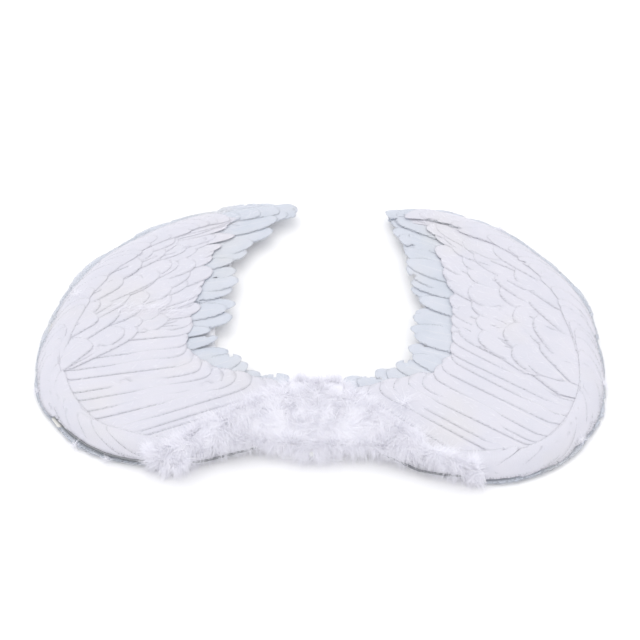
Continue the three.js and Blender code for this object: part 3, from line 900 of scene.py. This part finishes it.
def add_strands(heap, base, direction, facing, length, width, droop, rng, steps=3):
    """Tapering ribbons: base, direction and facing are (n, 3), length and width are (n,)."""
    count = len(base)
    sideways = np.cross(direction, facing + rng.normal(size=(count, 3)) * 0.35)
    sideways /= np.linalg.norm(sideways, axis=1)[:, None] + 1e-9
    curl = rng.normal(size=(count, 3)) * 0.3
    curl[:, 2] -= droop
    t = np.linspace(0, 1, steps + 1)[None, :, None]
    spine = base[:, None] + direction[:, None] * (length[:, None, None] * t)
    spine = spine + curl[:, None] * (length[:, None, None] * t**2)
    half = sideways[:, None] * (width[:, None, None] * (1 - 0.8 * t) / 2)
    points = np.stack([spine - half, spine + half], axis=2)
    points[..., 2] = np.clip(points[..., 2], LOWEST, HIGHEST)
    points = points.reshape(-1, 3)
    local = grid_faces(steps + 1, 2)
    faces = (local[None] + (np.arange(count) * 2 * (steps + 1))[:, None, None]).reshape(-1, 4)
    heap.add(points, faces, np.zeros((len(points), 2)))


print("strands stay below", round(HIGHEST, 1), "mm")

# %% [markdown]
# Two coats are grown: one combed over the mound, with one strand in eight standing up as a
# haze, and a fringe that hangs over the near edge. The hub's share rides on the spine, and the
# rest is one piece for each wing, with its placement baked into its points.

# %% Growing the down
STANDING = 0.12
ROOT_DEPTH = 2


def mirrored(side, *arrays):
    """Turns plan vectors worked for the right wing into this side's own."""
    for vectors in arrays:
        vectors[:, 0] *= SIDES[side]


def grow_down(heap, side, first, last, count, seed):
    """Strands combed over the mound between two shares, some standing up as a haze."""
    rng = dice(side, seed)
    share = rng.uniform(first, last, count)
    turn = rng.uniform(-0.25 * pi, 1.25 * pi, count)
    base = np.array([mound_point(side, a, b) for a, b in zip(share, turn)])
    out = np.stack([0 * turn, np.cos(turn), np.sin(turn)], axis=1)
    comb = clumps(base, COMB_CLUMP)
    comb += rng.normal(size=(count, 3)) * 0.12 + [0.12, -0.15, 0]
    comb = unit(comb - out * (comb * out).sum(axis=1)[:, None])
    standing = np.where(rng.random(count) < STANDING, 1.2, rng.uniform(0.15, 0.45, count))
    direction = unit(comb + out * standing[:, None])
    facing = facing_of(out, base)
    length = rng.uniform(8, 14, count)
    base = base - out * ROOT_DEPTH
    mirrored(side, base, direction, facing)
    add_strands(heap, base, direction, facing, length, rng.uniform(0.35, 0.75, count), 0.0, rng)


def grow_fringe(heap, side, first, last, count, seed, longer=0):
    """Down that hangs over the near edge of the mound."""
    rng = dice(side, seed)
    share = rng.uniform(first, last, count)
    turn = rng.uniform(0.95 * pi, 1.35 * pi, count)
    base = np.array([mound_point(side, a, b) for a, b in zip(share, turn)])
    clump = clumps(base, FRINGE_CLUMP)
    direction = np.array([0.1, -0.6, -0.75]) + clump * 0.7 + rng.normal(size=(count, 3)) * 0.15
    facing = unit(np.array([0, -0.7, 0.6]) + clump * 0.5)
    direction = unit(direction)
    length = rng.uniform(5, 11, count) + 5 * np.clip(clump[:, 0], 0, 1) + longer
    mirrored(side, base, direction, facing)
    add_strands(heap, base, direction, facing, length, rng.uniform(0.3, 0.55, count), 0.0, rng)


HUB_SHARE = {side: float(mound_edges[side][0].shares[24 * 2]) for side in SIDES}
print("share of the boa on the spine:", {side: round(HUB_SHARE[side], 2) for side in SIDES})

# %% Boa pieces
hub = Heap()
for side in SIDES:
    edge = HUB_SHARE[side]
    add_core(hub, side, 0.0, edge, 12)
    grow_down(hub, side, 0.35 * edge, edge, 4500, 51)
    grow_fringe(hub, side, 0.35 * edge, edge, 1400, 53, 6)
hub_piece = make_piece("spine_marabou_down", hub, [down_material, painted_shade_down])
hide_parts("spine_marabou")
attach(hub_piece, "spine")

for side, mirror in SIDES.items():
    edge = HUB_SHARE[side]
    heap = Heap()
    add_core(heap, side, edge * 0.9, 1.0, 40)
    grow_down(heap, side, edge * 0.92, 1.0, 12500, 61)
    grow_fringe(heap, side, edge * 0.95, 1.0, 3000, 63, 3)
    piece = make_piece(f"{side}_marabou_down", heap, [down_material, painted_shade_down])
    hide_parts(f"{side}_marabou")
    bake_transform(piece)

# %% [markdown]
# ## Loose down and broken barbs
#
# A handled wing sheds. Threads of down lie over the feathers, and a few tufts and broken barbs
# stand out from the rim. They keep the clean layout from looking printed.

# %% Loose down
# Each tuft: where it is in plan mm, how many strands it has, and how far they reach in mm.
TUFTS = {
    "right": [(195, 316, 60, 14), (298, 68, 50, 13), (270, -14, 40, 12), (90, 20, 70, 20)],
    "left": [(240, -46, 50, 13), (205, -64, 50, 12), (292, 26, 50, 14), (270, 163, 40, 14)],
}
BARB_COUNT = 900
WISP_SHARE, WISP_FROM, WISP_TO, WISP_ROW = 0.3, 150, 232, 143


def make_loose_down(side):
    """Broken barbs strewn over the wing, a row of wisps on the left one, and the tufts."""
    rng = dice(side, 71)
    heap = Heap()
    share, part = rng.uniform(0.1, 0.97, BARB_COUNT), rng.uniform(0, 1, BARB_COUNT)
    base = np.array([[*across(side, a, b), RIM_HEIGHT + 0.3] for a, b in zip(share, part)])
    angle = np.radians(150 + rng.normal(0, 22, BARB_COUNT))
    base = settle(base, rim[side])
    length = rng.uniform(3, 9, BARB_COUNT)
    if side == "left":
        wisps = rng.random(BARB_COUNT) < WISP_SHARE
        base[wisps, 0] = rng.uniform(WISP_FROM, WISP_TO, wisps.sum())
        base[wisps, 1] = WISP_ROW + rng.normal(0, 5, wisps.sum())
        length[wisps] = rng.uniform(8, 16, wisps.sum())
    rise = rng.uniform(0.02, 0.2, BARB_COUNT)
    direction = np.stack([np.cos(angle), np.sin(angle), rise], axis=1)
    groups = [(base, direction, length)]
    for x, y, strands, reach in TUFTS[side]:
        middle = settle(np.array([[x, y, RIM_HEIGHT]], float), rim[side])
        turn = rng.uniform(0, 2 * pi, strands)
        out = np.stack([np.cos(turn), np.sin(turn), rng.uniform(-0.1, 0.7, strands)], axis=1)
        groups.append(
            (middle + rng.normal(0, 1.5, (strands, 3)), out, rng.uniform(0.4, 1, strands) * reach)
        )
    for base, direction, length in groups:
        facing = np.tile([0.0, -0.1, 1.0], (len(base), 1))
        base, direction = base * [SIDES[side], 1, 1], direction * [SIDES[side], 1, 1]
        width = rng.uniform(0.25, 0.5, len(base))
        add_strands(heap, base, direction, facing, length, width, 0.05, rng)
    return heap


for side in SIDES:
    heap = make_loose_down(side)
    piece = make_piece(f"{side}_loose_down", heap, [down_material])
    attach(piece, f"{side}_wing")

# %% [markdown]
# ## The wearer's side
#
# What the wearer sees is dull and dry: fleece, felt, board, tape and thread. One function makes
# them all, with a fine noise as the grain, at so many grains in a metre: 700 is one each 1.4 mm.

# %% Grained materials
def grained_material(name, light, dark, scale, bump, roughness, stretch=(1, 1, 1), **more):
    """A material with a fine noise grain in its colour and its relief."""
    material, tree, shader = new_material(name, Roughness=roughness, **more)
    spot = node(tree, "ShaderNodeTexCoord").outputs["Object"]
    mapped = node(tree, "ShaderNodeMapping", {"Vector": spot, "Scale": stretch})
    texture = {"Vector": mapped, "Scale": scale, "Detail": 5.0, "Roughness": 0.65}
    grain = node(tree, "ShaderNodeTexNoise", texture)
    colours = {"Factor": grain, "A": linear(light), "B": linear(dark)}
    mixed = node(tree, "ShaderNodeMix", colours, data_type="RGBA")
    relief = node(
        tree, "ShaderNodeBump", {"Height": grain, "Strength": bump, "Distance": 0.6 * MM}
    )
    tree.links.new(mixed.outputs["Result"], shader.inputs["Base Color"])
    tree.links.new(relief.outputs["Normal"], shader.inputs["Normal"])
    return material, tree, shader, relief


# Felt is a mat of wool with no sheen of its own but a pale fuzz where it is seen edge-on.
felt, *_ = grained_material(
    "pressed_wool_felt", "#F1F0F0", "#DDDCDF", 900.0, 0.9, 0.95, Sheen_Weight=0.3
)
# Greyboard is pulped paper: flat, grey-brown, hardly any relief.
greyboard, *_ = grained_material("greyboard", "#B9B4AA", "#A09B92", 500.0, 0.3, 0.9)
# Thread and tape are cream cotton; the grain is drawn out, so it reads as yarn.
cotton, *_ = grained_material(
    "spun_cotton_thread", "#F2F0EA", "#D8D5CC", 1500.0, 0.8, 0.85, stretch=(1, 3, 1)
)
tape_cloth, *_ = grained_material(
    "cotton_tape", "#F4F3F0", "#DEDCD6", 1100.0, 0.7, 0.9, stretch=(1, 0.4, 1)
)
# Polythene is moulded smooth and waxy: the only soft highlight on this side but the steel's.
polythene, *_ = grained_material(
    "moulded_polythene", "#EFEFEE", "#E8E8E7", 120.0, 0.05, 0.42, IOR=1.51
)
# Zinc on steel is a dull metal: it darkens and brightens with what it faces.
steel, *_ = grained_material(
    "galvanised_spring_steel", "#9A9C9F", "#6E7074", 400.0, 0.1, 0.38, Metallic=1.0
)
print("grained materials", felt.name, greyboard.name, cotton.name, polythene.name, steel.name)

# %% [markdown]
# Two cloths have a pattern as well as a grain. The backing is bonded fleece, pressed with a grid
# of dots, 3 mm apart. The elastic is woven: rubber cores run along it as ribs 1.6 mm apart,
# crossed by fine weft, so light rakes it in lines.

# %% Fleece and elastic
DOTS = 330.0  # in a metre
RIB_PITCH, WEFT_PITCH = 1.6 * MM, 0.9 * MM


def press(tree, shader, height, strength, distance, grain_relief):
    """Adds a pattern's relief on top of the grain's."""
    inputs = {"Height": height, "Strength": strength, "Distance": distance}
    relief = node(tree, "ShaderNodeBump", {**inputs, "Normal": grain_relief})
    tree.links.new(relief.outputs["Normal"], shader.inputs["Normal"])


fleece, tree, shader, relief = grained_material(
    "spunbond_fleece", "#F3F3F5", "#E4E5EA", 700.0, 0.5, 0.9
)
spot = node(tree, "ShaderNodeTexCoord").outputs["Object"]
dots = node(
    tree, "ShaderNodeTexVoronoi", {"Vector": spot, "Scale": DOTS, "Randomness": 0.15}
)
press(tree, shader, dots, 0.5, 0.4 * MM, relief)

elastic, tree, shader, relief = grained_material(
    "woven_elastic", "#F3F2F1", "#E2E1E1", 1200.0, 0.4, 0.85
)
uv = node(tree, "ShaderNodeTexCoord").outputs["UV"]
axes = node(tree, "ShaderNodeSeparateXYZ", {"Vector": uv})
waves = []
for axis, pitch in (("X", RIB_PITCH), ("Y", WEFT_PITCH)):
    turns = {0: axes.outputs[axis], 1: 2 * pi * UV_UNIT / pitch}
    phase = node(tree, "ShaderNodeMath", turns, operation="MULTIPLY")
    waves.append(node(tree, "ShaderNodeMath", {0: phase}, operation="SINE"))
weave = node(tree, "ShaderNodeMath", dict(enumerate(waves)), operation="ADD")
press(tree, shader, weave, 0.6, 0.3 * MM, relief)
print("cloths", fleece.name, elastic.name)

# %% [markdown]
# The fleece is stretched flat between the glued feather roots and the rim wire, and covers the
# middle of each wing from the back. Its edges follow the tips and the rim a little inside them.

# %% Backing sheets
SHEET_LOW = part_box("right_backing_sheet")[0].z / MM
SHEET_EDGE = {"tips": -14, "rim": 8}
SHEET_START = 29
SHEET_LIFT, SHEET_SAG = 0.75, 0.35


def make_sheet(side, along=60, over=24):
    heap = Heap()
    shares = np.linspace(0.06, 0.96, along)
    inner = np.array([tips[side].beside(share, SHEET_EDGE["tips"]) for share in shares])
    outer = np.array([rim[side].beside(share, SHEET_EDGE["rim"]) for share in shares])
    for edge in (inner, outer):
        edge[:, 0] = np.maximum(edge[:, 0], SHEET_START)
    part = np.linspace(0, 1, over)[None, :, None]
    grid = inner[:, None] * (1 - part) + outer[:, None] * part
    ripple = np.sin(grid[..., 0] / 9 + grid[..., 1] / 23) * np.sin(pi * part[..., 0])
    height = SHEET_LOW + SHEET_LIFT + 0.5 * SHEET_SAG * ripple
    points = np.concatenate([grid, height[..., None]], axis=2).reshape(-1, 3)
    points[:, 0] *= SIDES[side]
    faces = grid_faces(along, over)
    if side == "left":
        faces = faces[:, ::-1]
    heap.add(points, faces, points[:, :2] * MM / UV_UNIT)
    piece = make_piece(f"{side}_fleece_backing", heap, [fleece], 0.5)
    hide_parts(f"{side}_backing_sheet")
    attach(piece, f"{side}_wing")


for side in SIDES:
    make_sheet(side)

# %% [markdown]
# ## Straps
#
# Each loop is 18 mm woven elastic, sewn into a flat U. It turns a corner by curving in its own
# plane, and the inner edge of the weave bunches up a little there.

# %% The path of a loop
STRAP_WIDTH, STRAP_TURN = 18, 15


def band_path(x_start, x_end, leg, turn, steps=10):
    """The middle line of a U in plan mm, from its upper end to its lower end."""
    points = [(x, leg) for x in np.linspace(x_start, x_end - turn, 24)]
    for i in range(1, steps + 1):
        a = pi / 2 * (1 - i / steps)
        points.append((x_end - turn + turn * cos(a), leg - turn + turn * sin(a)))
    points += [(x_end, y) for y in np.linspace(leg - turn, -leg + turn, 12)[1:]]
    for i in range(1, steps + 1):
        a = -pi / 2 * i / steps
        points.append((x_end - turn + turn * cos(a), -leg + turn + turn * sin(a)))
    points += [(x, -leg) for x in np.linspace(x_end - turn, x_start, 24)[1:]]
    return np.array(points)
print("a loop of elastic,", STRAP_WIDTH, "mm wide, turns its corners in", STRAP_TURN, "mm")

# %% Strap loops
STRAP_MIDDLE, STRAP_TOP, BUNCH = 1.1, 1.2, 0.25  # heights in mm


def make_strap(side, across_steps=10):
    low, high = (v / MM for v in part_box(f"{side}_strap"))
    inner_x = min(abs(low.x), abs(high.x))
    outer_x = max(abs(low.x), abs(high.x)) - STRAP_WIDTH / 2
    path = band_path(inner_x, outer_x, high.y - STRAP_WIDTH / 2, STRAP_TURN)
    step = np.gradient(path, axis=0)
    step /= np.linalg.norm(step, axis=1)[:, None]
    left = np.stack([-step[:, 1], step[:, 0]], axis=1)
    run = np.concatenate([[0], np.cumsum(np.linalg.norm(np.diff(path, axis=0), axis=1))])
    offsets = np.linspace(-0.5, 0.5, across_steps + 1) * STRAP_WIDTH
    grid = path[:, None] + left[:, None] * offsets[None, :, None]
    turning = np.abs(np.gradient(np.unwrap(np.arctan2(step[:, 1], step[:, 0]))))
    bunch = BUNCH * np.sin(run * 1.6)[:, None] * np.clip(-offsets / 9, 0, 1)[None]
    height = STRAP_MIDDLE + bunch * np.clip(turning / 0.1, 0, 1)[:, None]
    height = np.minimum(height, STRAP_TOP)[..., None]
    points = np.concatenate([grid, height], axis=2).reshape(-1, 3)
    points[:, 0] *= SIDES[side]
    uvs = np.stack(np.broadcast_arrays(offsets[None], run[:, None]), axis=2).reshape(-1, 2)
    heap = Heap()
    faces = grid_faces(len(path), across_steps + 1)
    if side == "right":
        faces = faces[:, ::-1]
    heap.add(points, faces, uvs * (MM / UV_UNIT))
    piece = make_piece(f"{side}_elastic_loop", heap, [elastic], 1.0)
    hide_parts(f"{side}_strap")
    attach(piece, f"{side}_strap")
    print(side, "strap length, mm:", round(run[-1], 1))


for side in SIDES:
    make_strap(side)

# %% [markdown]
# ## Felt pad
#
# The pad is the face that lies on the wearer's back: two layers of felt, sewn together round
# the edge. It is crowned, and its rim is pulled in by the thread.

# %% Pad faces
PAD_CORNER, SEAM_INSET = 8, 4
# How far in from the edge, in mm, and how far the face dips there, as a share of the thickness.
PAD_PROFILE = [
    (0, 0.5), (0.25, 0.22), (1.0, 0.06), (2.4, 0.08), (3.6, 0.2), (4.0, 0.26), (4.6, 0.18),
    (7, 0.05), (12, 0.01), (20, 0.0), (30, 0.0), (34.5, 0.0),
]


def rounded_ring(half_x, half_y, corner, steps=8):
    """A rounded rectangle as a closed ring of plan points."""
    ring = []
    for k, (sx, sy) in enumerate(((1, 1), (-1, 1), (-1, -1), (1, -1))):
        for i in range(steps + 1):
            a = pi / 2 * (k + i / steps)
            ring.append(
                (sx * (half_x - corner) + corner * cos(a), sy * (half_y - corner) + corner * sin(a))
            )
    return np.array([*ring, ring[0]])


def add_pad_faces(heap, low, high):
    """The two crowned faces of the pad, from its edge inwards."""
    for upper in (False, True):
        rings = []
        for inset, dip in PAD_PROFILE:
            corner = max(PAD_CORNER - inset, 0.4)
            ring = rounded_ring(high.x - inset, high.y - inset, corner)
            dip_height = dip * (high.z - low.z)
            z = high.z - dip_height if upper else low.z + dip_height
            rings.append(np.concatenate([ring, np.full((len(ring), 1), z)], axis=1))
        grid = np.array(rings)
        points = grid.reshape(-1, 3)
        faces = grid_faces(len(grid), grid.shape[1])
        heap.add(points, faces if upper else faces[:, ::-1], points[:, :2] * MM / UV_UNIT)


print("deepest dip of the pad's seam:", max(dip for inset, dip in PAD_PROFILE if inset > 1))

# %% [markdown]
# The seam is a running stitch of cotton, a little inside the edge. Each stitch is a short bowed
# tube that dives into the felt at both ends.

# %% The seam and the pad
STITCH, STITCH_PITCH = 2.8, 4.4
STITCH_RADIUS, STITCH_RISE, STITCH_DEPTH = 0.32, 0.5, 0.62
ALONG_STITCH, ROUND_STITCH = 6, 7


def add_stitches(heap, low, high):
    """Stitches on the wearer's face, at an even pitch round the seam."""
    corner = PAD_CORNER - SEAM_INSET
    seam = rounded_ring(high.x - SEAM_INSET, high.y - SEAM_INSET, corner)
    run = np.concatenate([[0], np.cumsum(np.linalg.norm(np.diff(seam, axis=0), axis=1))])
    t = np.linspace(0, 1, ALONG_STITCH)
    turn = np.linspace(0, 2 * pi, ROUND_STITCH)
    rise = STITCH_RISE * np.sin(pi * t)
    radius = STITCH_RADIUS * np.sin(pi * np.clip(t, 0.12, 0.88)) ** 0.4
    faces = grid_faces(ALONG_STITCH, ROUND_STITCH)
    for i in range(int(run[-1] / STITCH_PITCH)):
        start, stop = (
            np.array([np.interp(at, run, seam[:, k]) for k in (0, 1)])
            for at in (i * STITCH_PITCH, i * STITCH_PITCH + STITCH)
        )
        heading = (stop - start) / np.linalg.norm(stop - start)
        left = np.array([-heading[1], heading[0]])
        middle = start + t[:, None] * (stop - start)
        tube = np.zeros((ALONG_STITCH, ROUND_STITCH, 3))
        tube[..., :2] = middle[:, None] + left * (radius[:, None] * np.cos(turn))[..., None]
        tube[..., 2] = low.z + STITCH_DEPTH - rise[:, None] + radius[:, None] * np.sin(turn)
        heap.add(tube.reshape(-1, 3), faces, np.zeros((tube.size // 3, 2)), 1)


pad_low, pad_high = (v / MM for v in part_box("back_pad"))
heap = Heap()
add_pad_faces(heap, pad_low, pad_high)
add_stitches(heap, pad_low, pad_high)
piece = make_piece("felt_back_pad", heap, [felt, cotton])
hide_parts("back_pad")
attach(piece, "spine")

# %% [markdown]
# ## Finishes
#
# The hard parts keep the shape they were packed with, and only take a material: steel for the
# bar and wires, greyboard, polythene caps, cotton lashings and tapes, elastic tabs.

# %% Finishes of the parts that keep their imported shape
FINISHES = {
    "stiffener_plate": greyboard,
    "spine_bar": steel,
    "spine_cap": polythene,
    "lashing": cotton,
    "left_frame_wire": steel,
    "right_frame_wire": steel,
    "left_wire_tape": tape_cloth,
    "right_wire_tape": tape_cloth,
    "left_strap_tab": elastic,
    "right_strap_tab": elastic,
}
finished = 0
for name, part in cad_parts.items():
    for start, material in FINISHES.items():
        if name.startswith(start):
            part.material_slots[0].link = "OBJECT"
            part.material_slots[0].material = material
            finished += 1
print("parts that keep their shape:", finished)
